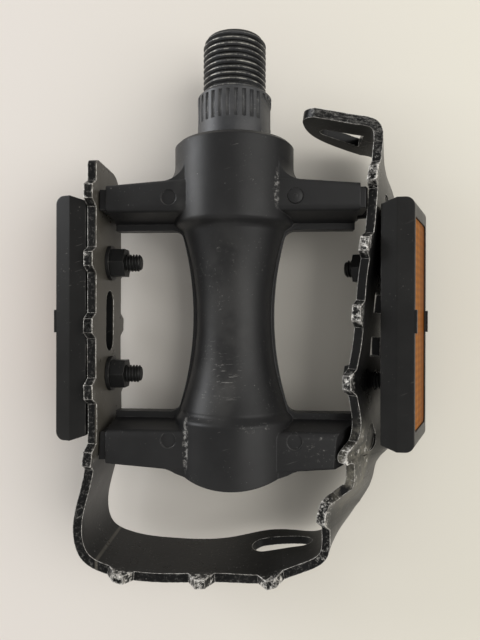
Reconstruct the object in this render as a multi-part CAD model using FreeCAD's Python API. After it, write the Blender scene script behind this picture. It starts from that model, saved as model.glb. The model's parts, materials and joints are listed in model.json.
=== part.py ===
import FreeCAD, Part
import math
import os

os.makedirs("parts", exist_ok=True)
V = FreeCAD.Vector

# Left-hand mountain bike pedal, in millimetres.
# The spindle lies on the Y axis with its crank shoulder at Y = 0 and its thread towards +Y.
# The front of the pedal is -X, the tread faces are +Z and -Z.

# Fits
press_gap = 0.02
seat_gap = 0.1
running_gap = 0.3
ball_play = 0.15
bore_gap = 0.25
cup_bore_gap = 0.5
arm_gap = 0.3

# Spindle
thread_d = 14.28
thread_length = 12.6
thread_chamfer = 1.0
collar_d = 16.8
collar_chamfer = 0.6
wrench_flats = 15.0
wrench_flat_start = 1.5
wrench_flat_length = 8.8
wrench_flat_turn = 16.0
wrench_flat_runout = 1.2
flute_count = 30
flute_start = 1.0
flute_length = 5.9
flute_d = 1.1
flute_depth = 0.3
shank_inner_d = 10.6
shank_outer_d = 8.8
end_thread_d = 8.0
end_chamfer = 0.5
key_width = 2.0
key_depth = 0.7

# Bearings
ball_d = 3.175
inner_ball_y = -17.5
outer_ball_y = -73.0
inner_pitch_r = 7.4
outer_pitch_r = 5.8
cup_wall = 1.4
cup_floor = 1.9
cup_mouth = 2.9
cone_land = 1.0
cone_past = 0.6
cone_length = 3.0
lock_washer_d = 11.0
lock_washer_t = 1.0
lock_nut_af = 12.0
lock_nut_t = 3.2
spindle_tail = 0.6
seal_t = 2.0

# Body
body_face_y = -11.5
barrel_r = 13.5
inner_barrel_end_y = -30.0
outer_barrel_start_y = -72.0
body_end_past = 2.6
body_end_bow = 2.2
waist_inner_r = 11.4
waist_mid_r = 8.6
waist_outer_r = 12.1
tunnel_r = 6.0
tread_h = 18.8
arm_reach = 29.0
arm_neck = 1.9
arm_neck_drop = 1.1
inner_arm_outer_y = -20.2
inner_arm_top_y = -27.3
inner_arm_side_y = -29.3
outer_arm_outer_y = -83.4
outer_arm_top_y = -74.7
outer_arm_side_y = -72.7
arm_taper = 1.6
arm_round = 1.6
arm_edge = 0.7
root_fillet = 4.5
step_round = 1.0
ledge_width = 1.1
waist_ledge = 0.6
ledge_t = 3.0
ledge_corner = 2.5
mark_d = 3.3
mark_depth = 0.35
mark_x = 13.5
inner_mark_y = -24.5
outer_mark_y = -76.5
cap_t = 1.6
cap_skirt = 3.0
cap_skirt_wall = 0.9
cap_lip = 0.6

# Cage strip
strip_t = 1.95
front_end_y = -16.0
front_corner_r = 7.0
front_top_r = 1.5
outboard_y = -105.4
flare = 3.15
tooth_top = 3.0
tooth_ramp = 1.3
side_tooth_h = 2.5
outboard_tooth_h = 3.3
strap_slot_length = 14.1
strap_slot_h = 5.8
front_slot_y = -51.0
front_slot_drop = 0.4
rear_window_y = -51.8
rear_window_length = 4.3
rear_window_pitch = 9.8
rear_window_h = 7.2
rear_window_drop = 1.0
outboard_slot_x = 11.7
outboard_slot_drop = 2.7
loop_slot_high = 3.3
loop_slot_low = -3.7
loop_end_x = 15.4
loop_y = -9.4

# Fasteners
screw_d = 3.5
screw_head_d = 6.0
screw_head_t = 1.3
screw_sink = 0.35
screw_length = 13.0
screw_place = 0.6
stud_d = 4.0
stud_length = 10.0
stud_root = 3.6
stud_pitch = 25.6
nut_af = 6.2
nut_t = 3.2
washer_d = 8.0
washer_t = 0.8

# Reflectors
reflector_y = -50.4
rear_reflector_shift = -1.2
reflector_length = 53.0
reflector_back_h = 18.2
reflector_h = 19.0
reflector_face_h = 16.8
reflector_ridge = 3.4
reflector_depth = 6.8
reflector_corner = 1.8
reflector_end_taper = 1.1
lens_rim = 1.0
lens_end = 4.0
lens_t = 1.5
lens_recess = 0.3
nub_length = 4.9
nub_along = 0.65
nub_proud = 0.5
nub_t = 0.8
front_reflector_stand = 0.5
rear_reflector_stand = 4.0
rear_reflector_lean = 23.0

# Derived sizes
ball_r = ball_d / 2
collar_r = collar_d / 2
half_tread = tread_h / 2
cup_inner_od = inner_pitch_r + ball_r + cup_wall
cup_outer_od = outer_pitch_r + ball_r + cup_wall
race_r = ball_r + ball_play
front_x = -(arm_reach + seat_gap + strip_t / 2)
rear_x = -front_x
cone_end_y = outer_ball_y - cone_land - cone_length
washer_end_y = cone_end_y - lock_washer_t
nut_end_y = washer_end_y - lock_nut_t
spindle_end_y = nut_end_y - spindle_tail
body_end_y = outer_arm_outer_y - body_end_past
cap_seat_y = body_end_y + body_end_bow + cap_t
cap_r = cup_outer_od + cap_lip

# The strip runs from the front wall's inboard end, round the outboard wall, up the rear wall and
# into the strap loop. Each row is the middle of the strip: X, Y and the lean of its top inwards.
# The rear wall and its outboard corner are bent in, as on a pedal that has been dropped on its side.
cage_rows = [
    (front_x, front_end_y, 0),
    (front_x, front_end_y - 16, 0),
    (front_x, front_end_y - 32, 0),
    (front_x, front_end_y - 48, 0),
    (front_x, outboard_y + 27, 0),
    (front_x - 0.44 * flare, outboard_y + 18.4, 0),
    (front_x - flare, outboard_y + 9.7, 0),
    (front_x - 0.42 * flare, outboard_y + 3.3, 0),
    (front_x + 2.9, outboard_y + 1.0, 0),
    (front_x + 14.3, outboard_y - 0.6, 0),
    (0, outboard_y, -1),
    (rear_x - 21.2, outboard_y + 1.15, -6),
    (rear_x - 15.7, outboard_y + 2.15, 0),
    (rear_x - 9.5, outboard_y + 3.9, 10),
    (rear_x - 6.7, outboard_y + 8.55, 21),
    (rear_x - 4.6, outboard_y + 14.2, 29),
    (rear_x - 1.9, outboard_y + 17.6, 25),
    (rear_x - 0.9, outboard_y + 21.6, 25),
    (rear_x - 0.3, outboard_y + 24.2, 31),
    (rear_x, outboard_y + 26.2, 35),
    (rear_x + 0.1, outboard_y + 28.6, 29),
    (rear_x + 0.2, outboard_y + 35.4, 25),
    (rear_x + 0.4, outboard_y + 41.3, 32),
    (rear_x + 0.65, outboard_y + 47.4, 28),
    (rear_x + 2.05, outboard_y + 63.4, 28),
    (rear_x + 3.2, outboard_y + 73.4, 26),
    (rear_x + 3.2, outboard_y + 85.4, 20),
    (rear_x + 2.75, loop_y - 5, 13),
    (rear_x + 2.5, loop_y - 2.25, 10.5),
    (rear_x + 1.9, loop_y - 0.97, 8),
    (rear_x + 0.7, loop_y - 0.29, 3),
    (rear_x - 2.1, loop_y + 0.25, 0),
    (rear_x - 5, loop_y + 0.8, 0),
    (rear_x - 9, loop_y + 1.6, 0),
    (loop_end_x - 1, loop_y + 2.7, -0.5),
]
section_step = 1.0
loop_bend_row = -7
fold_lead = 6.0

# Tooth places: along the front and rear walls by Y, along the outboard wall by X
front_teeth_y = [-23.5, -37.8, -52.0, -66.1, -80.3]
rear_teeth_y = [-79.3, -64.1, -49.8, -35.3, -20.1]
outboard_teeth_x = [-23.6, -6.2, 8.6]
corner_tooth_y = outboard_y + 12.3


# Shape helpers

def revolve(profile):
    """Solid of revolution about the Y axis from (radius, y) points."""
    points = [V(r, y, 0) for r, y in profile]
    face = Part.Face(Part.makePolygon(points + points[:1]))
    return face.revolve(V(0, 0, 0), V(0, 1, 0), 360)


def ring(outer_r, inner_r, y_low, y_high):
    return revolve([(inner_r, y_low), (outer_r, y_low), (outer_r, y_high), (inner_r, y_high)])


def rod(radius, start, direction, length):
    return Part.makeCylinder(radius, length, start, direction)


def hexagon(across_flats, start, direction, length):
    """Hexagonal prism from start along direction."""
    corner_r = across_flats / math.sqrt(3)
    angles = [k * math.pi / 3 for k in range(7)]
    points = [V(corner_r * math.cos(angle), corner_r * math.sin(angle), 0) for angle in angles]
    prism = Part.Face(Part.makePolygon(points)).extrude(V(0, 0, length))
    prism.Placement = FreeCAD.Placement(start, FreeCAD.Rotation(V(0, 0, 1), direction))
    return prism


def block(x_low, x_high, y_low, y_high, z_low, z_high):
    return Part.makeBox(x_high - x_low, y_high - y_low, z_high - z_low, V(x_low, y_low, z_low))


def stadium(length, height, depth):
    """Slot cutter through X: a rounded bar along Y."""
    radius = height / 2
    straight = length / 2 - radius
    bar = block(-depth, depth, -straight, straight, -radius, radius)
    ends = [rod(radius, V(-depth, side * straight, 0), V(1, 0, 0), 2 * depth) for side in (-1, 1)]
    return bar.fuse(ends).removeSplitter()


def race(pitch_r, y):
    """Ring-shaped track that the balls run in."""
    return Part.makeTorus(pitch_r, race_r, V(0, y, 0), V(0, 1, 0))


def placed(shape, frame):
    shape = shape.copy()
    shape.Placement = frame.multiply(shape.Placement)
    return shape


def export(name, solids):
    shape = solids[0] if len(solids) == 1 else Part.makeCompound(solids)
    shape.exportStep("parts/" + name + ".step")


# Cage strip: a middle line with a lean, and frames along it

row_marks = [0.0]
for before, after in zip(cage_rows, cage_rows[1:]):
    row_marks.append(row_marks[-1] + math.hypot(after[0] - before[0], after[1] - before[1]))
bend_mark = row_marks[loop_bend_row]
middle_line = Part.BSplineCurve()
middle_line.interpolate(Points=[V(x, y, 0) for x, y, lean in cage_rows], Parameters=row_marks)
lean_line = Part.BSplineCurve()
leans = [V(row[2], mark, 0) for row, mark in zip(cage_rows, row_marks)]
lean_line.interpolate(Points=leans, Parameters=row_marks)


def leaning_frame(mark):
    """Frame on the strip: X outwards through it, Y along it, Z up its width."""
    along = middle_line.tangent(mark)[0]
    level_out = along.cross(V(0, 0, 1))
    lean = math.radians(lean_line.value(mark).x)
    out = level_out * math.cos(lean) + V(0, 0, 1) * math.sin(lean)
    return FreeCAD.Placement(middle_line.value(mark), FreeCAD.Rotation(out, along, V(0, 0, 1), "XYZ"))


def fold_line():
    """Direction of the fold between the leaning rear wall and the upright strap loop."""
    wall_out = leaning_frame(bend_mark).Rotation.multVec(V(1, 0, 0))
    loop_out = middle_line.tangent(row_marks[-3])[0].cross(V(0, 0, 1))
    return wall_out.cross(loop_out).normalize()


def strip_frame(mark):
    """As the leaning frame, but past the fold the strip's width keeps to the fold's direction."""
    if mark < bend_mark:
        return leaning_frame(mark)
    along = middle_line.tangent(mark)[0]
    out = along.cross(fold_line()).normalize()
    return FreeCAD.Placement(middle_line.value(mark), FreeCAD.Rotation(out, along, V(0, 0, 1), "XYZ"))


def strip_near(x, y):
    return strip_frame(middle_line.parameter(V(x, y, 0)))


def tooth_marks():
    """Each tooth's mark on the strip, with its heights on the upper and the lower edge."""
    places = [(front_x, y, side_tooth_h, side_tooth_h) for y in front_teeth_y]
    places += [(x, outboard_y, outboard_tooth_h, 0) for x in outboard_teeth_x]
    places.append((rear_x - 5.4, corner_tooth_y, outboard_tooth_h, 0))
    places += [(rear_x + 2, y, side_tooth_h, side_tooth_h) for y in rear_teeth_y]
    return [(middle_line.parameter(V(x, y, 0)), above, below) for x, y, above, below in places]


def strip_section(mark, teeth):
    """Closed outline across the strip, taller where a tooth stands."""
    high = half_tread
    low = -half_tread
    for place, above, below in teeth:
        rise = (tooth_top / 2 + tooth_ramp - abs(mark - place)) / tooth_ramp
        rise = min(1.0, max(0.0, rise))
        high += rise * above
        low -= rise * below
    half = strip_t / 2
    frame = strip_frame(mark)
    width = strip_frame(max(mark, bend_mark)).Rotation.inverted().multVec(fold_line())
    slope = width.y / width.z * min(1.0, max(0.0, 1 - (bend_mark - mark) / fold_lead))
    corners = [V(-half, slope * low, low), V(half, slope * low, low),
               V(half, slope * high, high), V(-half, slope * high, high)]
    corners = [frame.multVec(corner) for corner in corners]
    return Part.makePolygon(corners + corners[:1])


def make_strip():
    """The bent strip with its teeth, lofted from stop to stop: the feet and tips of the teeth."""
    teeth = tooth_marks()
    tip = tooth_top / 2
    foot = tip + tooth_ramp
    stops = [row_marks[0], bend_mark, row_marks[-1]]
    for place, above, below in teeth:
        stops += [place - foot, place - tip, place + tip, place + foot]
    stops.sort()
    skin = [Part.Face(strip_section(stop, teeth)) for stop in (stops[0], stops[-1])]
    for start, end in zip(stops, stops[1:]):
        count = math.ceil((end - start) / section_step)
        marks = [start + (end - start) * k / count for k in range(count + 1)]
        skin += Part.makeLoft([strip_section(mark, teeth) for mark in marks], False, False).Faces
    shell = Part.makeCompound(skin)
    shell.sewShape(press_gap)
    return Part.Solid(shell.Shells[0])


def loop_frame():
    """Frame in the strap loop's plane, at its free end."""
    return strip_near(loop_end_x, loop_y + 2.5)


def loop_end_cutter():
    """What is trimmed from the strap loop: its lower edge climbs to a rounded free end."""
    start = V(0, -15, -half_tread)
    tip = V(0, 0, 0.53 * half_tread)
    crown = V(0, -2.2, half_tread)
    lower = Part.BSplineCurve()
    lower.interpolate([start, V(0, -11, -0.82 * half_tread), V(0, -7, -0.6 * half_tread),
                       V(0, -2.7, -0.2 * half_tread), V(0, -0.7, 0.22 * half_tread), tip])
    nose = Part.Arc(tip, V(0, -0.6, 0.86 * half_tread), crown)
    outside = [crown, V(0, -2.2, 2 * half_tread), V(0, half_tread, 2 * half_tread),
               V(0, half_tread, -2 * half_tread), V(0, -15, -2 * half_tread), start]
    edges = [lower.toShape(), nose.toShape()] + Part.makePolygon(outside).Edges
    cutter = Part.Face(Part.Wire(edges)).extrude(V(6 * strip_t, 0, 0))
    cutter.translate(V(-3 * strip_t, 0, 0))
    return placed(cutter, loop_frame())


def loop_slot_cutter():
    """Strap slot of the loop, tapering towards the free end."""
    high = loop_slot_high
    low = loop_slot_low
    start = V(0, -13.6, low)
    end_low = V(0, -5.2, low * 0.05)
    end_high = V(0, -5.2, high)
    end = Part.Arc(end_low, V(0, -4.1, high * 0.5), end_high)
    rest = Part.makePolygon([end_high, V(0, -13.6, high), start, end_low])
    cutter = Part.Face(Part.Wire([end.toShape()] + rest.Edges)).extrude(V(6 * strip_t, 0, 0))
    cutter.translate(V(-3 * strip_t, 0, 0))
    return placed(cutter, loop_frame())


def front_end_cutters():
    """Round the corners of the front wall's free end, the lower one more."""
    frame = strip_near(front_x, front_end_y)
    cutters = []
    for r, side in ((front_corner_r, -1), (front_top_r, 1)):
        middle = side * (half_tread - r)
        z_low, z_high = sorted((middle, middle + side * 3 * r))
        corner = block(-3 * strip_t, 3 * strip_t, -r, r, z_low, z_high)
        wheel = rod(r, V(-3 * strip_t, r, middle), V(1, 0, 0), 6 * strip_t)
        cutters.append(placed(corner.cut(wheel), frame))
    return cutters


def screw_places():
    """The middle of the strip at the cage screws, one at each arm."""
    inner_y = inner_arm_outer_y + screw_place * (inner_arm_side_y - inner_arm_outer_y)
    outer_y = outer_arm_outer_y + screw_place * (outer_arm_side_y - outer_arm_outer_y)
    return [(front_x, inner_y), (front_x, outer_y), (rear_x + 2, inner_y), (rear_x, outer_y)]


def screw_frames():
    """Frames of the cage screws' heads, just below the strip's outer face."""
    depth = FreeCAD.Placement(V(strip_t / 2 - screw_sink, 0, 0), FreeCAD.Rotation())
    return [strip_near(x, y).multiply(depth) for x, y in screw_places()]


def screw(head_r, shank_r, length):
    """Countersunk screw along -X with its head's face at X = 0."""
    head = Part.makeCone(head_r, shank_r, screw_head_t, V(0, 0, 0), V(-1, 0, 0))
    shank = rod(shank_r, V(0, 0, 0), V(-1, 0, 0), length)
    return head.fuse(shank).removeSplitter()


def reflector_frames():
    """Frames on the reflectors' backs: X outwards, Y along, Z up."""
    front = V(front_x - strip_t / 2 - front_reflector_stand, reflector_y, 0)
    rear = V(rear_x + strip_t / 2 + rear_reflector_stand, reflector_y + rear_reflector_shift, 0)
    return {
        "front": FreeCAD.Placement(front, FreeCAD.Rotation(V(0, 0, 1), 180)),
        "rear": FreeCAD.Placement(rear, FreeCAD.Rotation(V(0, 1, 0), -rear_reflector_lean)),
    }


def stud_seats(frame):
    """Each stud's place along the reflector, and how far behind it the wall's inner face lies."""
    seats = []
    for along in (-stud_pitch / 2, stud_pitch / 2):
        root = frame.multVec(V(0, along, 0))
        axis = frame.Rotation.multVec(V(-1, 0, 0))
        wall = strip_near(root.x, root.y)
        normal = wall.Rotation.multVec(V(1, 0, 0))
        inner = wall.multVec(V(-strip_t / 2, 0, 0))
        depth = (inner - root).dot(normal) / axis.dot(normal)
        tilt = math.acos(min(1.0, abs(axis.dot(normal))))
        seats.append((along, depth + washer_d / 2 * math.tan(tilt) + seat_gap))
    return seats


# Pieces on the spindle

def make_spindle():
    thread_r = thread_d / 2
    tip_r = thread_r - thread_chamfer
    tip_y = thread_length - thread_chamfer
    cone_r = inner_pitch_r + cone_past
    cone_top = inner_ball_y + (cone_r - inner_pitch_r) + cone_land * math.sqrt(2)
    shank_in = shank_inner_d / 2
    shank_out = shank_outer_d / 2
    end_r = end_thread_d / 2
    cone_low = cone_top - (cone_r - shank_in)
    collar_end = body_face_y - seal_t
    shank_end = outer_ball_y + cup_mouth
    profile = [
        (0, thread_length), (tip_r, thread_length), (thread_r, tip_y), (thread_r, 0),
        (collar_r - collar_chamfer, 0), (collar_r, -collar_chamfer), (collar_r, collar_end),
        (cone_r, collar_end - (collar_r - cone_r)), (cone_r, cone_top), (shank_in, cone_low),
        (shank_in, cone_low - cup_floor), (shank_out, shank_end + cup_floor), (shank_out, shank_end),
        (end_r, shank_end - (shank_out - end_r)), (end_r, spindle_end_y + end_chamfer),
        (end_r - end_chamfer, spindle_end_y), (0, spindle_end_y),
    ]
    spindle = revolve(profile).cut(race(inner_pitch_r, inner_ball_y))
    flat_x = wrench_flats / 2
    flat_end = -wrench_flat_start - wrench_flat_length
    flat = block(flat_x, flat_x + collar_d, flat_end, -wrench_flat_start, -collar_d, collar_d)
    runouts = [edge for edge in flat.Edges
               if edge.BoundBox.ZLength > collar_d and edge.CenterOfMass.x < flat_x + collar_chamfer]
    flat = flat.makeFillet(wrench_flat_runout, runouts)
    flat.rotate(V(0, 0, 0), V(0, 1, 0), -wrench_flat_turn)
    opposite = flat.copy()
    opposite.rotate(V(0, 0, 0), V(0, 1, 0), 180)
    cuts = [flat, opposite]
    flute_at = collar_r + flute_d / 2 - flute_depth
    for k in range(flute_count):
        angle = 2 * math.pi * (k + 0.5) / flute_count
        start = V(flute_at * math.sin(angle), -flute_start, flute_at * math.cos(angle))
        cuts.append(rod(flute_d / 2, start, V(0, -1, 0), flute_length))
    key = key_width / 2
    key_end = cone_end_y + cone_length / 2
    cuts.append(block(-key, key, spindle_end_y - 1, key_end, end_r - key_depth, end_thread_d))
    return spindle.cut(cuts)


def make_outer_cone():
    bore = end_thread_d / 2 + press_gap
    land = cone_land * math.sqrt(2)
    tip_r = bore + end_chamfer
    tip_y = outer_ball_y - land - (tip_r - outer_pitch_r)
    wide_r = outer_pitch_r + cone_past
    wide_y = outer_ball_y - land - (wide_r - outer_pitch_r)
    profile = [(bore, tip_y), (tip_r, tip_y), (wide_r, wide_y), (wide_r, cone_end_y), (bore, cone_end_y)]
    return revolve(profile).cut(race(outer_pitch_r, outer_ball_y))


def make_lock_washer():
    bore = end_thread_d / 2 + press_gap
    washer = ring(lock_washer_d / 2, bore, washer_end_y, cone_end_y - press_gap)
    low = end_thread_d / 2 - key_depth + seat_gap
    half = key_width / 2 - seat_gap
    tab = block(-half, half, washer_end_y, cone_end_y - press_gap, low, bore + key_depth)
    return washer.fuse(tab).removeSplitter()


def make_lock_nut():
    bore = end_thread_d / 2 + press_gap
    nut = hexagon(lock_nut_af, V(0, washer_end_y - press_gap, 0), V(0, -1, 0), lock_nut_t - press_gap)
    return nut.cut(rod(bore, V(0, nut_end_y - 1, 0), V(0, 1, 0), lock_nut_t + 2))


def make_balls(pitch_r, y):
    count = int(2 * math.pi * pitch_r / (ball_d * 1.06))
    balls = []
    for k in range(count):
        angle = 2 * math.pi * k / count
        balls.append(Part.makeSphere(ball_r, V(pitch_r * math.cos(angle), y, pitch_r * math.sin(angle))))
    return balls


# Pieces pressed into the body

def make_inner_cup():
    outer = cup_inner_od
    mouth = inner_pitch_r + race_r
    floor_y = inner_ball_y - ball_r - cup_floor
    lip_y = inner_ball_y + cup_mouth
    low_r = tunnel_r + cup_bore_gap
    low_y = inner_ball_y - (inner_pitch_r - low_r)
    profile = [(outer, lip_y), (outer, floor_y), (low_r, floor_y), (low_r, low_y),
               (mouth, inner_ball_y + race_r), (mouth, lip_y)]
    return revolve(profile).cut(race(inner_pitch_r, inner_ball_y))


def make_outer_cup():
    outer = cup_outer_od
    mouth = outer_pitch_r + race_r
    floor_y = outer_ball_y + ball_r + cup_floor
    lip_y = outer_ball_y - cup_mouth
    low_r = shank_outer_d / 2 + cup_bore_gap
    low_y = outer_ball_y + (outer_pitch_r - low_r)
    profile = [(outer, lip_y), (outer, floor_y), (low_r, floor_y), (low_r, low_y),
               (mouth, outer_ball_y - race_r), (mouth, lip_y)]
    return revolve(profile).cut(race(outer_pitch_r, outer_ball_y))


def make_dust_seal():
    return ring(cup_inner_od, collar_r + running_gap, body_face_y - seal_t, body_face_y)


def make_dust_cap():
    end_y = cap_seat_y - cap_t
    disc = rod(cap_r, V(0, cap_seat_y, 0), V(0, -1, 0), cap_t)
    skirt = ring(cup_outer_od, cup_outer_od - cap_skirt_wall, cap_seat_y, cap_seat_y + cap_skirt)
    cap = disc.fuse(skirt).removeSplitter()
    rim = [edge for edge in cap.Edges if edge.BoundBox.YMax < end_y + cap_t / 2]
    return cap.makeFillet(cap_t / 3, rim)


# Body

def arm(outer_y, top_y, side_y, direction):
    """One pair of arms across the body; direction is 1 where the outer edge faces +Y."""
    pairs = []
    for side in (-1, 1):
        wires = []
        for x, shift in ((0.0, -arm_taper * 0.3), (arm_reach - arm_neck, arm_taper)):
            edge_y = outer_y - direction * shift
            outline = [(edge_y, half_tread), (top_y, half_tread), (side_y, 0),
                       (top_y, -half_tread), (edge_y, -half_tread)]
            points = [V(side * x, y, z) for y, z in outline]
            wires.append(Part.makePolygon(points + points[:1]))
        bar = Part.makeLoft(wires, True, True)
        long_edges = [edge for edge in bar.Edges if edge.BoundBox.XLength > arm_reach / 2]
        shoulders = [edge for edge in long_edges if abs(edge.CenterOfMass.y - top_y) < 0.3]
        bar = bar.makeFillet(arm_round, shoulders)
        corners = [edge for edge in bar.Edges if edge.BoundBox.XLength > arm_reach / 2
                   and abs(edge.CenterOfMass.y - outer_y) < arm_taper + 0.3]
        bar = bar.makeFillet(arm_edge, corners)
        near = outer_y - direction * (arm_taper + arm_edge)
        far = top_y + direction * 0.4
        height = half_tread - arm_neck_drop
        tip = sorted((side * (arm_reach - arm_neck - 1), side * arm_reach))
        neck = block(tip[0], tip[1], min(near, far), max(near, far), -height, height)
        pairs.append(bar.fuse(neck).removeSplitter())
    return pairs


def barrel_step(waist_r, y, direction):
    """Soft step from the waist up to a barrel; direction points along Y into the barrel."""
    rise = barrel_r - waist_r
    places = [(0, -1.4), (0.25, -0.5), (0.6, 0), (0.88, 0.45), (1, 1.3)]
    points = [V(waist_r + part * rise, y + direction * step_round * along, 0) for part, along in places]
    curve = Part.BSplineCurve()
    curve.interpolate(points)
    return points, curve.toShape()


def make_waist():
    """Both barrels and the hourglass between them, as one turned form."""
    inner_points, inner_step = barrel_step(waist_inner_r, inner_barrel_end_y, 1)
    outer_points, outer_step = barrel_step(waist_outer_r, outer_barrel_start_y, -1)
    middle = V(waist_mid_r, (inner_barrel_end_y + outer_barrel_start_y) / 2, 0)
    hollow = Part.Arc(inner_points[0], middle, outer_points[0]).toShape()
    start = V(0, body_face_y, 0)
    rim = [V(barrel_r - arm_edge, body_face_y, 0), V(barrel_r, body_face_y - arm_edge, 0)]
    end = [V(barrel_r, body_end_y, 0), V(0, body_end_y, 0)]
    before = Part.makePolygon([start] + rim + inner_points[-1:]).Edges
    after = Part.makePolygon(outer_points[-1:] + end + [start]).Edges
    profile = Part.Wire(Part.__sortEdges__(before + [inner_step, hollow, outer_step] + after))
    return Part.Face(profile).revolve(V(0, 0, 0), V(0, 1, 0), 360)


def make_ledge():
    """Mid-plane ledge at the parting line, round both windows."""
    z = -ledge_t / 2
    inner_y = inner_arm_side_y - ledge_width
    outer_y = outer_arm_side_y + ledge_width
    reach = arm_reach - arm_neck
    halves = []
    for side in (-1, 1):
        low = V(side * (waist_inner_r + waist_ledge), inner_y, z)
        high = V(side * (waist_outer_r + waist_ledge), outer_y, z)
        waist = Part.Arc(low, V(side * (waist_mid_r + waist_ledge), (inner_y + outer_y) / 2, z), high)
        end = side * reach
        inner = [V(0, inner_y + ledge_t, z), V(end, inner_y + ledge_t, z), V(end, inner_y, z), low]
        outer = [high, V(end, outer_y, z), V(end, outer_y - ledge_t, z), V(0, outer_y - ledge_t, z)]
        outer.append(inner[0])
        edges = Part.makePolygon(inner).Edges + [waist.toShape()] + Part.makePolygon(outer).Edges
        half = Part.Face(Part.Wire(edges)).extrude(V(0, 0, ledge_t))
        corners = [edge for edge in half.Edges if edge.BoundBox.ZLength > 0.9 * ledge_t
                   and min((edge.CenterOfMass - V(p.x, p.y, 0)).Length for p in (low, high)) < 0.1]
        halves.append(half.makeFillet(ledge_corner, corners))
    return halves


def body_end_cutter():
    """Trims the outboard end to a bow in plan that runs out into the arms."""
    top = 2 * barrel_r
    wide = barrel_r + arm_edge
    bow = Part.Arc(V(-wide, body_end_y + body_end_bow * 1.5, -top), V(0, body_end_y, -top),
                   V(wide, body_end_y + body_end_bow * 1.5, -top))
    far = [V(wide, body_end_y + body_end_bow * 1.5, -top), V(wide, body_end_y - top, -top),
           V(-wide, body_end_y - top, -top), V(-wide, body_end_y + body_end_bow * 1.5, -top)]
    return Part.Face(Part.Wire([bow.toShape()] + Part.makePolygon(far).Edges)).extrude(V(0, 0, 2 * top))


def root_flare(arm_y, direction):
    """Turned fillet from the arms' outer faces into a barrel, cut to the arms' height."""
    y = arm_y - direction * arm_taper / 2
    cut = root_fillet * (1 - math.sqrt(0.5))
    foot = V(barrel_r + root_fillet, y, 0)
    top = V(barrel_r, y + direction * root_fillet, 0)
    arc = Part.Arc(foot, V(barrel_r + cut, y + direction * cut, 0), top)
    inside = [top, V(barrel_r - arm_edge, top.y, 0), V(barrel_r - arm_edge, y - direction, 0),
              V(foot.x, y - direction, 0), foot]
    profile = Part.Face(Part.Wire([arc.toShape()] + Part.makePolygon(inside).Edges))
    flare = profile.revolve(V(0, 0, 0), V(0, 1, 0), 360)
    reach = 2 * barrel_r
    height = half_tread - arm_edge / 2
    return flare.common(block(-reach, reach, y - reach, y + reach, -height, height))


def body_bores():
    """Seats of the cups, the seal and the cap, and the tunnel between them."""
    inner_floor = inner_ball_y - ball_r - cup_floor
    outer_floor = outer_ball_y + ball_r + cup_floor
    inner_seat = cup_inner_od + press_gap
    outer_seat = cup_outer_od + press_gap
    return [
        rod(inner_seat, V(0, inner_floor - press_gap, 0), V(0, 1, 0), body_face_y - inner_floor + 1),
        rod(tunnel_r, V(0, inner_floor + 1, 0), V(0, -1, 0), inner_floor - outer_floor + 2),
        rod(outer_seat, V(0, outer_floor + press_gap, 0), V(0, -1, 0), outer_floor - body_end_y + 2),
        rod(cap_r + press_gap, V(0, cap_seat_y + press_gap, 0), V(0, -1, 0), 2 * barrel_r),
    ]


def arm_trims():
    """Keeps the arms' ends clear of the strip, also where the rear wall leans over them."""
    slab = block(-strip_t / 2 - arm_gap, 2 * barrel_r, -barrel_r, barrel_r, -barrel_r, barrel_r)
    bent_places = [(rear_x, outer_arm_outer_y), (rear_x, rear_teeth_y[0])]
    return [placed(slab, strip_near(x, y)) for x, y in screw_places() + bent_places]


def make_body():
    pairs = arm(inner_arm_outer_y, inner_arm_top_y, inner_arm_side_y, 1)
    pairs += arm(outer_arm_outer_y, outer_arm_top_y, outer_arm_side_y, -1)
    outer_flare = root_flare(outer_arm_outer_y, -1)
    core = make_waist().fuse(outer_flare).cut(body_end_cutter())
    body = core.fuse(pairs + make_ledge() + [root_flare(inner_arm_outer_y, 1)]).removeSplitter()
    bores = body_bores()
    pilot = rod(screw_d / 2 + press_gap, V(0, 0, 0), V(-1, 0, 0), screw_length + seat_gap)
    bores += [placed(pilot, frame) for frame in screw_frames()]
    for x in (-mark_x, mark_x):
        for y in (inner_mark_y, outer_mark_y):
            pad = rod(mark_d / 2, V(x, y, half_tread - mark_depth), V(0, 0, 1), barrel_r)
            bores += [pad, pad.mirror(V(0, 0, 0), V(0, 0, 1))]
    return body.cut(bores + arm_trims())


# Cage

def cage_openings():
    """Everything that is stamped or drilled through the strip."""
    cuts = [loop_end_cutter(), loop_slot_cutter()] + front_end_cutters()
    slot = stadium(strap_slot_length, strap_slot_h, 3 * strip_t)
    for frame, drop in ((strip_near(front_x, front_slot_y), front_slot_drop),
                        (strip_near(outboard_slot_x, outboard_y), outboard_slot_drop)):
        cuts.append(placed(slot, frame.multiply(FreeCAD.Placement(V(0, 0, -drop), FreeCAD.Rotation()))))
    for side in (-1, 1):
        low = side * rear_window_pitch / 2 - rear_window_length / 2
        window = block(-3 * strip_t, 3 * strip_t, low, low + rear_window_length,
                       -rear_window_drop - rear_window_h / 2, -rear_window_drop + rear_window_h / 2)
        cuts.append(placed(window, strip_near(rear_x + 2, rear_window_y)))
    sink = screw(screw_head_d / 2 + seat_gap, screw_d / 2 + seat_gap, 3 * strip_t)
    sink = sink.fuse(rod(screw_head_d / 2 + seat_gap, V(0, 0, 0), V(1, 0, 0), strip_t))
    cuts += [placed(sink, frame) for frame in screw_frames()]
    for frame in reflector_frames().values():
        for along, depth in stud_seats(frame):
            hole = rod(stud_d / 2 + bore_gap, V(0, along, 0), V(-1, 0, 0), depth + strip_t)
            cuts.append(placed(hole, frame))
    return cuts


def make_cage():
    return make_strip().cut(cage_openings())


# Reflectors

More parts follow.
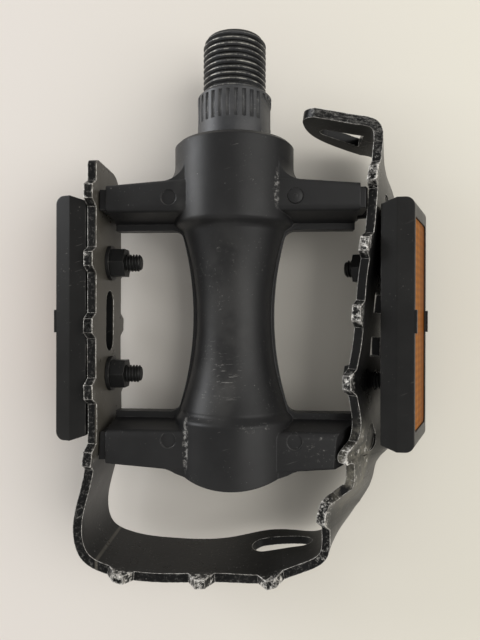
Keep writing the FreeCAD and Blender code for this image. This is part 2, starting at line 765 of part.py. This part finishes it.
def reflector_housing():
    """Moulded housing with its back at X = 0, a ridge, a sloped brow and a nub on each lip."""
    back = reflector_back_h / 2
    ridge = reflector_h / 2
    face = reflector_face_h / 2
    half = reflector_length / 2
    outline = [(0, back), (reflector_ridge, ridge), (reflector_depth, face),
               (reflector_depth, -face), (reflector_ridge, -ridge), (0, -back)]
    points = [V(x, -half, z) for x, z in outline]
    bar = Part.Face(Part.makePolygon(points + points[:1])).extrude(V(0, reflector_length, 0))
    plan = [V(0, -half + reflector_end_taper, -reflector_h), V(reflector_ridge, -half, -reflector_h),
            V(reflector_depth, -half, -reflector_h)]
    plan += [V(p.x, -p.y, p.z) for p in reversed(plan)]
    ends = Part.Face(Part.makePolygon(plan + plan[:1])).extrude(V(0, 0, 2 * reflector_h))
    corners = [edge for edge in ends.Edges if edge.BoundBox.ZLength > reflector_h
               and edge.CenterOfMass.x > reflector_ridge + 0.1]
    housing = bar.common(ends.makeFillet(reflector_corner, corners))
    for side in (-1, 1):
        lip = face - nub_t / 2
        nub = block(reflector_ridge, reflector_depth + nub_proud, nub_along - nub_length / 2,
                    nub_along + nub_length / 2, side * lip - nub_t / 2, side * lip + nub_t / 2)
        housing = housing.fuse(nub)
    return housing.removeSplitter()


def lens_block(depth, grow):
    half_y = reflector_length / 2 - lens_end + grow
    half_z = reflector_face_h / 2 - lens_rim + grow
    floor = reflector_depth - lens_recess - lens_t
    lens = block(floor, floor + depth, -half_y, half_y, -half_z, half_z)
    edges = [edge for edge in lens.Edges if edge.BoundBox.XLength > 0.9 * depth]
    return lens.makeFillet(lens_rim, edges)


def make_reflector(name, frame):
    """One reflector: housing, lens, and the studs, washers and nuts that hold it to the strip."""
    pocket = lens_block(reflector_depth, seat_gap)
    housing = reflector_housing().cut(pocket)
    studs, washers, nuts = [], [], []
    for along, depth in stud_seats(frame):
        root = V(stud_root, along, 0)
        studs.append(rod(stud_d / 2, root, V(-1, 0, 0), stud_root + stud_length))
        bore = rod(stud_d / 2 + press_gap, root + V(press_gap, 0, 0), V(-1, 0, 0), 2 * stud_length)
        housing = housing.cut(bore)
        washers.append(rod(washer_d / 2, V(-depth, along, 0), V(-1, 0, 0), washer_t).cut(bore))
        nut_at = V(-depth - washer_t - press_gap, along, 0)
        nuts.append(hexagon(nut_af, nut_at, V(-1, 0, 0), nut_t).cut(bore))
    lens = lens_block(lens_t, 0)
    lens.translate(V(press_gap, 0, 0))
    groups = {"housing": [housing], "lens": [lens], "studs": studs, "washers": washers, "nuts": nuts}
    for piece, solids in groups.items():
        export(name + "_reflector_" + piece, [placed(solid, frame) for solid in solids])


# Build

export("spindle", [make_spindle()])
export("outer_cone", [make_outer_cone()])
export("lock_washer", [make_lock_washer()])
export("lock_nut", [make_lock_nut()])
export("inner_balls", make_balls(inner_pitch_r, inner_ball_y))
export("outer_balls", make_balls(outer_pitch_r, outer_ball_y))
export("inner_cup", [make_inner_cup()])
export("outer_cup", [make_outer_cup()])
export("dust_seal", [make_dust_seal()])
export("dust_cap", [make_dust_cap()])
export("body", [make_body()])
export("cage", [make_cage()])
cage_screw = screw(screw_head_d / 2, screw_d / 2, screw_length)
export("cage_screws", [placed(cage_screw, frame) for frame in screw_frames()])
for reflector_name, reflector_frame in reflector_frames().items():
    make_reflector(reflector_name, reflector_frame)
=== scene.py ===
import json
import math

import bpy
from mathutils import Matrix, Vector


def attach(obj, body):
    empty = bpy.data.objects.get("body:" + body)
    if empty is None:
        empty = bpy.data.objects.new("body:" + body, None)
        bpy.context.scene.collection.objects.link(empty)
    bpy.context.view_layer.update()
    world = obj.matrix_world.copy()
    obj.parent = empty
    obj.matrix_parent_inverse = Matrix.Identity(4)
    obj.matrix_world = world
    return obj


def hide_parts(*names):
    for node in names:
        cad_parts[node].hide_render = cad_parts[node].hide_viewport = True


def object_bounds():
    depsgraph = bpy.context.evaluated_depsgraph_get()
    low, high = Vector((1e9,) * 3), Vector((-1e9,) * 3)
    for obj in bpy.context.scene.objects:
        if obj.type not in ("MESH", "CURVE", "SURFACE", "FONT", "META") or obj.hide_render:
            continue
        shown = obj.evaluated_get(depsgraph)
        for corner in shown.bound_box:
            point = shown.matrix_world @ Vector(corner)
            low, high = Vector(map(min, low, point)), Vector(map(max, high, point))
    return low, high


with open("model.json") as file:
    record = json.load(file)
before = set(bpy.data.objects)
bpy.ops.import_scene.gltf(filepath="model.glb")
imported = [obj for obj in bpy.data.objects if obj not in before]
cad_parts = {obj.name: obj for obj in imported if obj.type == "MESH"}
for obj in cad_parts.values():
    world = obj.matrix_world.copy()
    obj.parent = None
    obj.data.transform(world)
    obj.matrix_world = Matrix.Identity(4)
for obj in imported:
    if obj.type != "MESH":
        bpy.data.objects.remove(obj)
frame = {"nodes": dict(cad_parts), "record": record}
cad_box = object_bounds()
nodes = frame["nodes"]

MM = 0.001

# Sizes in millimetres, those of the solids and those of what is worn or added

# Spindle
thread_r = 7.14
thread_length = 12.6
thread_pitch = 1.27
thread_chamfer = 1.0
thread_runout = 1.5
thread_least = 0.15
collar_r = 8.4

# Thread ridge: its depth as a share of the pitch, and each step out and up as shares of depth and pitch
ridge_depth = 0.6
ridge_steps = [(0, 0.16), (0.8, 0.26), (0.2, 0.1), (0, 0.12), (-0.2, 0.1), (-0.8, 0.26)]
ridge_points = 48

# Raised gate mark
gate_d = 3.2
gate_t = 0.5
gate_x = 13.5
gate_y = -24.5
gate_z = 9.3
gate_bevel = 0.16
gate_bevel_h = 0.12
gate_land = 0.98
gate_tip = 0.1
gate_tip_h = 0.14

# Reflectors and their studs
stud_r = 2.0
stud_root = 3.6
stud_length = 10.0
stud_thread_pitch = 0.7
stud_chamfer = 0.5
stud_pitch = 25.6
front_reflector_x = -31.55
front_reflector_y = -50.4
rear_reflector_x = 35.05
rear_reflector_y = -51.6
rear_reflector_lean = 23.0

# Cage: each worn tooth's X and the share of its height that is left, and the flap's place
half_tread = 9.4
side_tooth_h = 2.5
outboard_tooth_h = 3.3
outboard_teeth_y = -98
worn_teeth = [(-23.6, 0.75), (-6.2, 0.92), (8.6, 0.65)]
tooth_narrowing = 0.3
rear_wall_x = 30.1
flap_y = -79.3
flap_reach = 3.2
flap_lean = math.radians(35)
flap_pull = 0.35

# Shading and cutting
crease_angle = 30
gate_crease_angle = 50
merge_gap = 2e-6
cut_gap = 1e-7
same_place = 0.01


# Finishes

def srgb(red, green, blue):
    """Linear colour from 0 to 255 screen values."""
    channels = []
    for value in (red, green, blue):
        value /= 255
        channels.append(value / 12.92 if value < 0.04045 else ((value + 0.055) / 1.055) ** 2.4)
    return (*channels, 1)


class Link:
    """A socket of a finish, with the arithmetic of shader values."""

    def __init__(self, finish, socket):
        self.finish = finish
        self.socket = socket

    def calc(self, operation, first, second):
        return self.finish.node("Math", {"operation": operation}, {0: first, 1: second})

    def __add__(self, other):
        return self.calc("ADD", self, other)

    def __radd__(self, other):
        return self.calc("ADD", other, self)

    def __sub__(self, other):
        return self.calc("SUBTRACT", self, other)

    def __rsub__(self, other):
        return self.calc("SUBTRACT", other, self)

    def __mul__(self, other):
        return self.calc("MULTIPLY", self, other)

    def __pow__(self, other):
        return self.calc("POWER", self, other)

    def most(self, other):
        return self.calc("MAXIMUM", self, other)

    def step(self, low, high):
        """0 below low, 1 above high, smooth between; falls where low is above high."""
        return self.finish.node("MapRange", {"interpolation_type": "SMOOTHSTEP"},
                                {"Value": self, "From Min": low, "From Max": high})


class Finish:
    """The nodes of a material, or of the world, on its own coordinates."""

    def __init__(self, owner, coordinates="Object"):
        self.owner = owner
        owner.use_nodes = True
        self.tree = owner.node_tree
        self.tree.nodes.clear()
        self.place = self.node("TexCoord", output=coordinates)
        self.x, self.y, self.z = (self.axis(name) for name in "XYZ")

    def node(self, kind, settings=None, sockets=None, output=0):
        made = self.tree.nodes.new("ShaderNode" + kind)
        for name, value in (settings or {}).items():
            setattr(made, name, value)
        for name, value in (sockets or {}).items():
            if isinstance(value, Link):
                self.tree.links.new(value.socket, made.inputs[name])
            else:
                made.inputs[name].default_value = value
        return Link(self, made.outputs[output]) if output is not None else made

    def axis(self, name):
        """One coordinate of the surface point, in millimetres."""
        return self.node("SeparateXYZ", None, {0: self.place}, name) * (1 / MM)

    def drawn(self, x, y, z, turn=0):
        """Coordinates that draw a pattern out x, y and z times, after a turn about Z."""
        return self.node("Mapping", {"vector_type": "TEXTURE"},
                         {"Vector": self.place, "Rotation": (0, 0, turn), "Scale": (x, y, z)})

    def noise(self, size, detail=3, rough=0.55, place=None):
        """Cloudy noise whose largest blotches are about size millimetres."""
        return self.node("TexNoise", None, {"Vector": place or self.place, "Scale": 1 / (size * MM),
                                            "Detail": detail, "Roughness": rough})

    def dots(self, size, share):
        """Round specks, about one for each size millimetres, share of that across."""
        spacing = self.node("TexVoronoi", None, {"Vector": self.place, "Scale": 1 / (size * MM)})
        return spacing.step(share, 0.6 * share)

    def waves(self, direction, pitch):
        """Ribs square to a direction, pitch millimetres apart."""
        return self.node("TexWave", {"bands_direction": direction},
                         {"Vector": self.place, "Scale": 0.314 / (pitch * MM)}, 1)

    def mix(self, factor, first, second):
        return self.node("Mix", {"data_type": "RGBA"}, {0: factor, 6: first, 7: second}, 2)

    def rounded(self, radius):
        return self.node("Bevel", {"samples": 8}, {"Radius": radius * MM})

    def edges(self, radius):
        """How far the surface bends within radius: 0 on flats, rising towards edges."""
        facing = self.node("NewGeometry", output="Normal")
        bent = self.rounded(radius)
        return 1 - self.node("VectorMath", {"operation": "DOT_PRODUCT"}, {0: bent, 1: facing}, 1)

    def bump(self, height, depth, normal):
        """Normal with a relief of depth millimetres."""
        return self.node("Bump", None, {"Distance": depth * MM, "Height": height, "Normal": normal})

    def scratches(self, size, length, turn, share):
        """Straight scratches, length times as long as wide, along a turned X."""
        return self.noise(size, 2, 0.5, self.drawn(length, 1, 1, turn)).step(0.74 - share, 0.8 - share)

    def near(self, x, y, reach_x, reach_y):
        """1 at a place on the upper side, falling to 0 at its reach."""
        off_x = (self.x - x) * (1 / reach_x)
        off_y = (self.y - y) * (1 / reach_y)
        return (off_x * off_x + off_y * off_y).step(1, 0.2) * self.z.step(-2, 2)

    def surface(self, **sockets):
        values = {name.replace("_", " "): value for name, value in sockets.items()}
        return self.close("OutputMaterial", self.node("BsdfPrincipled", None, values))

    def close(self, kind, shader):
        self.node(kind, None, {"Surface": shader}, None)
        return self.owner


def lighter(colour, times):
    return tuple(times * channel for channel in colour[:3]) + (1,)


def moulded_resin(name, colour, pale, rough, shine, wear, rubs=(), scores=(), films=()):
    """Black moulded plastic: mould grain, rubbed edges, specks, scratches; the lists name worn places."""
    finish = Finish(bpy.data.materials.new(name))
    cloud = finish.noise(13, 4)
    patchy = finish.noise(7, 3, 0.6)
    flaked = finish.noise(0.8, 4, 0.7)
    edge = finish.edges(0.45).step(0.05, 0.4) * finish.noise(2.2, 4, 0.65).step(0.42, 0.64) * wear
    specks = finish.dots(1.5, 0.1).most(finish.dots(0.8, 0.1)) * patchy.step(0.5, 0.66)
    lines = finish.scratches(0.35, 30, 0.3, 0.06) * finish.noise(10, 2).step(0.48, 0.66)
    worn = edge.most(specks * 0.35).most(lines * 0.22)
    for *place, share in rubs:
        rub = flaked.step(0.68 - 0.3 * share, 0.86 - 0.3 * share) * (0.3 + 0.5 * share)
        worn = worn.most(finish.near(*place) * rub)
    across = finish.noise(0.45, 4, 0.7, finish.drawn(9, 1, 1, 0.05)).step(0.58, 0.68)
    for *place, share in scores:
        worn = worn.most(finish.near(*place) * across * share)
    dusty = cloud * 0.03
    for *place, share in films:
        dusty = dusty + finish.near(*place) * share * patchy.step(0.25, 0.6)
    base = finish.mix(cloud.step(0.3, 0.7), colour, lighter(colour, 1.35))
    base = finish.mix(dusty, base, pale)
    grain = finish.noise(0.3, 2)
    return finish.surface(
        Base_Color=finish.mix(worn, base, pale),
        Roughness=rough + (patchy - 0.5) * 0.2 + worn * 0.25,
        Specular_IOR_Level=shine,
        Normal=finish.bump(grain - lines * 0.5 - worn * 0.4, 0.012, finish.rounded(0.35)))


def painted_steel():
    """Black enamelled strip: bare along its edges, chipped on the teeth, scraped where it was crushed; a
    painted reflection lightens the front wall's inner face.
    """
    finish = Finish(bpy.data.materials.new("cage_paint"))
    chips = finish.noise(1.1, 5, 0.7)
    cloud = finish.noise(9, 4)
    rim = finish.edges(0.28).step(0.02, 0.14) * finish.noise(2.6, 4, 0.7).step(0.32, 0.46)
    tooth = finish.z.step(9.5, 10.2).most(finish.z.step(-9.5, -10.2))
    rear = finish.x.step(12, 24)
    outboard = finish.y.step(-97, -101)
    chipped = tooth * (finish.edges(0.8) * 0.7 + chips + rear.most(outboard) * 0.12).step(0.6, 0.72)
    upper = finish.z.step(8.6, 9.2) * finish.noise(0.6, 4, 0.7).step(0.5, 0.68) * (0.12 + rear * 0.5)
    brushed = finish.noise(0.45, 4, 0.7, finish.drawn(6, 1, 1, -0.2)).step(0.46, 0.62)
    loop = finish.y.step(-17, -14)
    upper = (upper * (1 - loop * 0.6)).most(loop * finish.z.step(8.6, 9.2) * brushed * 0.2)
    crushed = finish.near(28, -84, 8, 14) * finish.noise(3.5, 5, 0.7).step(0.36, 0.62)
    crushed = crushed * (0.5 + chips.step(0.4, 0.6) * 0.5)
    gouged = finish.near(27, -80, 6, 9) * finish.noise(1.6, 4, 0.6).step(0.6, 0.66) * 0.8
    lines = finish.scratches(0.3, 30, 0.5, 0.06).most(finish.scratches(0.35, 24, 1.4, 0.06))
    lines = lines * finish.noise(8, 2).step(0.42, 0.62)
    specks = finish.dots(1.2, 0.1) * finish.noise(5, 3).step(0.5, 0.62)
    bare = rim.most(chipped).most(upper).most(gouged).most(lines * 0.25).most(specks * 0.4)
    paint = finish.mix(cloud.step(0.3, 0.7), srgb(13, 13, 13), srgb(24, 24, 24))
    paint = finish.mix(crushed * 0.75, paint, srgb(128, 124, 113))
    # Painted reflection: the inner face of the front wall is turned pale grey where it mirrors the bright
    # floor
    inside = finish.x.step(-29.5, -29.2) * finish.x.step(-28.6, -28.9)
    paint = finish.mix(inside * (0.2 + cloud * 0.4), paint, srgb(116, 111, 101))
    steel = finish.mix(finish.noise(0.7, 4, 0.7).step(0.4, 0.6), srgb(226, 223, 217), srgb(132, 129, 124))
    return finish.surface(
        Base_Color=finish.mix(bare, paint, steel),
        Metallic=bare * 0.4,
        Roughness=0.3 + (cloud - 0.5) * 0.2 + bare * 0.2 + crushed * 0.2,
        Specular_IOR_Level=0.14,
        Normal=finish.bump(finish.noise(0.8, 3) - bare * 0.7 - crushed * 0.8, 0.02, finish.rounded(0.25)))


def spindle_steel():
    """Blackened forging: thread crests rubbed bright, dusty collar."""
    finish = Finish(bpy.data.materials.new("spindle_steel"))
    cloud = finish.noise(4, 4, 0.65)
    radius = (finish.x * finish.x + finish.z * finish.z) ** 0.5
    crest = radius.step(thread_r - 0.14, thread_r - 0.03) * finish.y.step(0.1, 0.5)
    crest = crest * finish.noise(2.2, 5, 0.8).step(0.42, 0.6)
    rubbed = finish.edges(0.25).step(0.05, 0.35) * finish.noise(1.5, 4, 0.7).step(0.4, 0.62) * 0.7
    specks = finish.dots(0.9, 0.13) * finish.noise(3, 3).step(0.48, 0.62) * 0.5
    bare = crest.most(rubbed).most(specks)
    base = finish.mix(cloud.step(0.3, 0.7), srgb(50, 51, 53), srgb(66, 66, 67))
    groove = radius.step(thread_r - 0.3, thread_r - 0.6) * finish.y.step(0.1, 0.5)
    base = finish.mix(groove, base, srgb(28, 28, 27))
    return finish.surface(
        Base_Color=finish.mix(bare, base, srgb(158, 156, 149)),
        Metallic=0.3 + bare * 0.3,
        Roughness=0.48 + (cloud - 0.5) * 0.2,
        Normal=finish.bump(finish.noise(0.6, 3), 0.012, finish.rounded(0.1)))


def dark_steel(name, colour, pale, rough, metal):
    """Oil-blackened steel, rubbed bright on its edges."""
    finish = Finish(bpy.data.materials.new(name))
    cloud = finish.noise(4, 4, 0.65)
    rubbed = finish.edges(0.2).step(0.05, 0.35) * finish.noise(1.5, 4, 0.7).step(0.38, 0.6)
    specks = finish.dots(0.9, 0.16) * finish.noise(3, 3).step(0.5, 0.62) * 0.5
    bare = rubbed.most(specks)
    base = finish.mix(cloud.step(0.3, 0.7), colour, lighter(colour, 1.5))
    return finish.surface(
        Base_Color=finish.mix(bare, base, pale),
        Metallic=metal + bare * 0.3,
        Roughness=rough + (cloud - 0.5) * 0.2,
        Normal=finish.bump(finish.noise(0.6, 3), 0.012, finish.rounded(0.12)))


def ground_steel(name, colour, rough):
    """Hardened bearing steel with a ground finish."""
    finish = Finish(bpy.data.materials.new(name))
    cloud = finish.noise(3, 3)
    lines = finish.noise(0.25, 2, 0.5, finish.drawn(12, 1, 12))
    return finish.surface(
        Base_Color=finish.mix(cloud.step(0.3, 0.7), colour, lighter(colour, 0.7)),
        Metallic=0.9,
        Roughness=rough + (lines - 0.5) * 0.15,
        Normal=finish.bump(lines, 0.004, finish.rounded(0.1)))


def seal_rubber():
    finish = Finish(bpy.data.materials.new("seal_rubber"))
    cloud = finish.noise(2, 4)
    return finish.surface(
        Base_Color=finish.mix(cloud.step(0.3, 0.7), srgb(24, 24, 24), srgb(42, 41, 40)),
        Roughness=0.7 + (cloud - 0.5) * 0.2,
        Normal=finish.bump(finish.noise(0.3, 2), 0.02, finish.rounded(0.2)))


def lens_amber():
    """Amber acrylic with fine prisms behind a glossy face."""
    finish = Finish(bpy.data.materials.new("lens_amber"))
    ribs = finish.waves("Z", 2.1)
    steps = finish.waves("Y", 1.6)
    cloud = finish.noise(6, 3)
    dirt = finish.edges(0.8).step(0.02, 0.3) * finish.noise(2, 4).step(0.3, 0.6)
    lit = finish.z.step(-7, 6)
    amber = finish.mix(ribs, finish.mix(lit, srgb(112, 60, 8), srgb(178, 108, 22)),
                       finish.mix(lit, srgb(72, 36, 4), srgb(116, 64, 8)))
    amber = finish.mix(steps * 0.4 + cloud * 0.2, amber, srgb(104, 56, 6))
    return finish.surface(
        Base_Color=finish.mix(dirt * 0.7, amber, srgb(48, 28, 12)),
        Roughness=0.4 + cloud * 0.1,
        Specular_IOR_Level=0.03,
        Normal=finish.bump(ribs + steps * 0.4, 0.1, finish.rounded(0.15)))


# Worn places of the body: X, Y, reach in X, reach in Y, and how much is worn
body_rubs = [
    (-9.7, -77, 0.8, 7, 0.85),
    (9.6, -23, 0.7, 5, 0.7),
    (-1.5, -60, 6, 5, 0.2),
    (5, -73, 5, 1.2, 0.4),
    (-6, -71.5, 5, 1, 0.35),
    (17, -77, 9, 5, 0.32),
    (9, -66, 3, 6, 0.25),
    (-3, -40, 6, 9, 0.28),
]
body_scores = [(-1, -62, 4, 3.5, 0.5), (-4, -58, 4, 4, 0.25), (-3, -66, 6, 3, 0.25)]
body_films = [(-1, -50, 6.5, 24, 0.05), (-4, -66, 6, 8, 0.05), (-9, -25, 4, 9, 0.05)]

finishes = {
    "spindle_steel": spindle_steel(),
    "bearing_steel": ground_steel("bearing_steel", srgb(168, 167, 165), 0.28),
    "ball_steel": ground_steel("ball_steel", srgb(206, 206, 206), 0.12),
    "seal_rubber": seal_rubber(),
    "cap_plastic": moulded_resin("cap_plastic", srgb(26, 26, 27), srgb(112, 110, 106), 0.5, 0.26, 0.4),
    "body_resin": moulded_resin("body_resin", srgb(20, 20, 21), srgb(152, 150, 146), 0.42, 0.25, 0.3,
                                body_rubs, body_scores, body_films),
    "cage_paint": painted_steel(),
    "housing_plastic": moulded_resin("housing_plastic", srgb(18, 18, 18), srgb(150, 147, 141),
                                     0.36, 0.16, 0.5),
    "lens_amber": lens_amber(),
    "fastener_black": dark_steel("fastener_black", srgb(22, 22, 22), srgb(118, 115, 110), 0.45, 0.3),
}


def dress(piece, slot):
    piece.data.materials.clear()
    piece.data.materials.append(finishes[slot])


# Modelling helpers

def select_only(piece):
    bpy.ops.object.select_all(action="DESELECT")
    piece.select_set(True)
    bpy.context.view_layer.objects.active = piece


def edit(piece):
    select_only(piece)
    bpy.ops.object.mode_set(mode="EDIT")
    bpy.ops.mesh.select_all(action="SELECT")


def leave():
    bpy.ops.object.mode_set(mode="OBJECT")


def threaded_rod(name, crest_r, pitch, length, hand):
    """Rod along Z from 0 to length with a rolled thread; hand is 1 for right and -1 for left."""
    depth = ridge_depth * pitch
    bpy.ops.object.select_all(action="DESELECT")
    bpy.ops.mesh.primitive_plane_add(size=pitch)
    rod = bpy.context.object
    rod.name = name
    bpy.ops.object.mode_set(mode="EDIT")
    bpy.ops.mesh.select_all(action="SELECT")
    bpy.ops.mesh.merge(type="CENTER")
    bpy.ops.transform.translate(value=(crest_r - depth, 0, -1.5 * pitch))
    for out, up in ridge_steps:
        bpy.ops.mesh.extrude_region_move(TRANSFORM_OT_translate={"value": (out * depth, 0, up * pitch)})
    leave()
    turns = rod.modifiers.new("thread", "SCREW")
    turns.axis = "Z"
    turns.angle = hand * 2 * math.pi
    turns.screw_offset = pitch
    turns.iterations = math.ceil(length / pitch) + 3
    turns.steps = turns.render_steps = ridge_points
    turns.use_merge_vertices = True
    bpy.ops.object.modifier_apply(modifier="thread")
    edit(rod)
    bpy.ops.mesh.remove_doubles(threshold=1e-6)
    for level, below in ((0, True), (length, False)):
        bpy.ops.mesh.select_all(action="SELECT")
        bpy.ops.mesh.bisect(plane_co=(0, 0, level), plane_no=(0, 0, 1), use_fill=True,
                            clear_inner=below, clear_outer=not below, threshold=cut_gap)
    bpy.ops.mesh.select_all(action="SELECT")
    bpy.ops.mesh.normals_make_consistent(inside=False)
    leave()
    return rod


def limit_radius(rod, least, most):
    """Keeps every point of a rod along Z between two radii, given as functions of its height."""
    for vertex in rod.data.vertices:
        radius = math.hypot(vertex.co.x, vertex.co.y)
        if radius > 1e-6:
            kept = max(least(vertex.co.z), min(most(vertex.co.z), radius))
            vertex.co.x *= kept / radius
            vertex.co.y *= kept / radius


def smooth(piece, degrees):
    select_only(piece)
    bpy.ops.object.shade_smooth_by_angle(angle=math.radians(degrees))


def solid_copy(node, name):
    """Merged copy of a node's mesh, to be reworked."""
    piece = bpy.data.objects.new(name, nodes[node].data.copy())
    bpy.context.scene.collection.objects.link(piece)
    edit(piece)
    bpy.ops.mesh.remove_doubles(threshold=merge_gap)
    leave()
    return piece


def finish_piece(piece, body, slot, *replaced):
    dress(piece, slot)
    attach(piece, body)
    if replaced:
        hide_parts(*replaced)


# Spindle with its left-hand crank thread

def even_collar(mesh):
    """Lets the collar shade as one round surface between its flutes and flats."""
    normals = [corner.vector.copy() for corner in mesh.corner_normals]
    for face in mesh.polygons:
        for corner in face.loop_indices:
            spot = mesh.vertices[mesh.loops[corner].vertex_index].co
            out = Vector((spot.x, 0, spot.z))
            if abs(out.length - collar_r * MM) < 0.02 * MM and face.normal.dot(out.normalized()) > 0.95:
                normals[corner] = out.normalized()
    mesh.normals_split_custom_set(normals)


def make_spindle():
    shank = solid_copy("spindle", "spindle_turned")
    edit(shank)
    bpy.ops.mesh.bisect(plane_co=(0, 0, 0), plane_no=(0, 1, 0), use_fill=True, clear_outer=True,
                        threshold=cut_gap)
    leave()
    crest = thread_r * MM
    length = thread_length * MM
    chamfer = thread_chamfer * MM
    thread = threaded_rod("crank_thread", crest, thread_pitch * MM, length, -1)
    runout = thread_runout * MM
    limit_radius(thread,
                 lambda z: crest - ridge_depth * thread_pitch * MM * min(1, max(thread_least, z / runout)),
                 lambda z: crest - max(0, z - (length - chamfer)))
    thread.data.transform(Matrix.Rotation(-math.pi / 2, 4, "X"))
    select_only(shank)
    thread.select_set(True)
    bpy.ops.object.join()
    smooth(shank, crease_angle)
    even_collar(shank.data)
    finish_piece(shank, "spindle", "spindle_steel", "spindle")


# Cage with its outboard teeth worn down and the tooth by the crushed corner drawn out into a flap

def make_worn_cage():
    strip = nodes["cage"].data
    shading = iter([(face.center.copy(), [strip.corner_normals[k].vector.copy() for k in face.loop_indices])
                    for face in strip.polygons])
    cage = solid_copy("cage", "cage_worn")
    normals = []
    for face in cage.data.polygons:
        middle, corners = next(shading)
        while (middle - face.center).length > same_place * MM:
            middle, corners = next(shading)
        normals += corners
    worn = set()
    for vertex in cage.data.vertices:
        x, y, z = vertex.co / MM
        rise = z - half_tread
        if rise > same_place and y < outboard_teeth_y:
            middle, kept = min(worn_teeth, key=lambda tooth: abs(x - tooth[0]))
            vertex.co.x = (middle + (x - middle) * (1 - tooth_narrowing * rise / outboard_tooth_h)) * MM
            vertex.co.z = (half_tread + rise * kept) * MM
            worn.add(vertex.index)
        lift = (rear_wall_x - x) * math.sin(flap_lean) + z * math.cos(flap_lean) - half_tread
        if lift > 0.05 and x > 0 and abs(y - flap_y) < flap_reach:
            pull = flap_pull * min(1, (lift / side_tooth_h) ** 2)
            vertex.co.y += (y - flap_y - flap_reach) * pull * MM
            worn.add(vertex.index)
    smooth(cage, crease_angle)
    for face in cage.data.polygons:
        if face.normal.z > 0.3 and not worn.isdisjoint(face.vertices):
            for corner in face.loop_indices:
                normals[corner] = face.normal.copy()
    cage.data.normals_split_custom_set(normals)
    finish_piece(cage, "pedal", "cage_paint", "cage")


# Threaded studs of the reflectors

def make_studs(name, place, turn):
    """Both studs of one reflector; place is the frame on the reflector's back."""
    length = (stud_root + stud_length) * MM
    first = threaded_rod(name, stud_r * MM, stud_thread_pitch * MM, length, 1)
    tip = stud_chamfer * MM
    limit_radius(first, lambda z: 0, lambda z: stud_r * MM - max(0, z - (length - tip)))
    second = bpy.data.objects.new(name + "_second", first.data.copy())
    bpy.context.scene.collection.objects.link(second)
    for stud, along in ((first, -stud_pitch / 2), (second, stud_pitch / 2)):
        seat = Matrix.Translation(Vector((stud_root, along, 0)) * MM)
        lay = Matrix.Rotation(-math.pi / 2, 4, "Y")
        stud.data.transform(Matrix.Translation(place) @ turn @ seat @ lay)
    select_only(first)
    second.select_set(True)
    bpy.ops.object.join()
    smooth(first, crease_angle)
    return first


# Raised gate mark on the rear inboard arm

def make_gate_disc():
    bpy.ops.object.select_all(action="DESELECT")
    bpy.ops.mesh.primitive_cylinder_add(vertices=40, radius=gate_d / 2 * MM, depth=gate_t * MM)
    disc = bpy.context.object
    disc.name = "gate_disc"
    edit(disc)
    bpy.ops.mesh.select_all(action="DESELECT")
    leave()
    for face in disc.data.polygons:
        face.select = face.normal.z > 0.9
    bpy.ops.object.mode_set(mode="EDIT")
    bpy.ops.mesh.inset(thickness=gate_bevel * MM)
    bpy.ops.transform.translate(value=(0, 0, gate_bevel_h * MM))
    bpy.ops.mesh.inset(thickness=gate_land * MM)
    bpy.ops.mesh.inset(thickness=gate_tip * MM)
    bpy.ops.transform.translate(value=(0, 0, gate_tip_h * MM))
    leave()
    disc.data.transform(Matrix.Translation(Vector((gate_x, gate_y, gate_z)) * MM) @ disc.matrix_basis)
    disc.matrix_basis = Matrix()
    smooth(disc, gate_crease_angle)
    finish_piece(disc, "pedal", "body_resin")


make_spindle()
make_worn_cage()
make_gate_disc()
front_studs = make_studs("front_studs_threaded", Vector((front_reflector_x, front_reflector_y, 0)) * MM,
                         Matrix.Rotation(math.pi, 4, "Z"))
finish_piece(front_studs, "pedal", "fastener_black", "front_reflector_studs")
rear_studs = make_studs("rear_studs_threaded", Vector((rear_reflector_x, rear_reflector_y, 0)) * MM,
                        Matrix.Rotation(-math.radians(rear_reflector_lean), 4, "Y"))
finish_piece(rear_studs, "pedal", "fastener_black", "rear_reflector_studs")


# Finishes of the solids

for part in frame["record"]["subparts"]:
    dress(nodes[part["node"]], part["material_slot"])
# The heads of the cage screws are painted over with the cage
dress(nodes["cage_screws"], "cage_paint")


# Floor, light and camera

def make_floor():
    bpy.ops.object.select_all(action="DESELECT")
    bpy.ops.mesh.primitive_plane_add(size=4, location=(0, -0.05, cad_box[0][2] - 0.0003))
    floor = bpy.context.object
    floor.name = "floor"
    finish = Finish(bpy.data.materials.new("floor"))
    across = (finish.x + finish.noise(120, 2) * 40).step(-60, 120)
    floor.data.materials.append(finish.surface(
        Base_Color=finish.mix(across, srgb(224, 218, 212), srgb(227, 223, 210)),
        Roughness=0.6))


def make_light(name, place, size, power, colour):
    lamp = bpy.data.lights.new(name, "AREA")
    lamp.shape = "SQUARE"
    lamp.size = size
    lamp.energy = power
    lamp.color = colour
    light = bpy.data.objects.new(name, lamp)
    light.location = place
    light.rotation_euler = (Vector((0, -0.05, 0)) - Vector(place)).to_track_quat("-Z", "Y").to_euler()
    bpy.context.scene.collection.objects.link(light)


def make_camera():
    camera = bpy.data.objects.new("camera", bpy.data.cameras.new("camera"))
    camera.data.lens = 30.084
    camera.data.sensor_width = 36
    camera.data.clip_start = 0.005
    camera.location = (0.008702, -0.050358, 0.122531)
    camera.rotation_euler = (-0.003, 0.06, 0.0023)
    bpy.context.scene.collection.objects.link(camera)
    bpy.context.scene.camera = camera


def make_world():
    """Dim overhead, brighter towards the horizon."""
    world = bpy.data.worlds.new("studio")
    finish = Finish(world, "Generated")
    height = finish.z * MM
    glow = height.step(0.9, 0) * 0.35 + 0.48
    sky = finish.node("Background", None, {"Color": (1, 0.985, 0.96, 1), "Strength": glow})
    finish.close("OutputWorld", sky)
    bpy.context.scene.world = world


make_floor()
make_light("window", (0.9, 0, 1.05), 1.2, 11.5, (1, 0.99, 0.96))
make_light("low_window", (-0.9, 0.35, 0.2), 0.5, 7, (0.95, 0.97, 1))
make_camera()
make_world()
bpy.context.scene.view_settings.view_transform = "Standard"
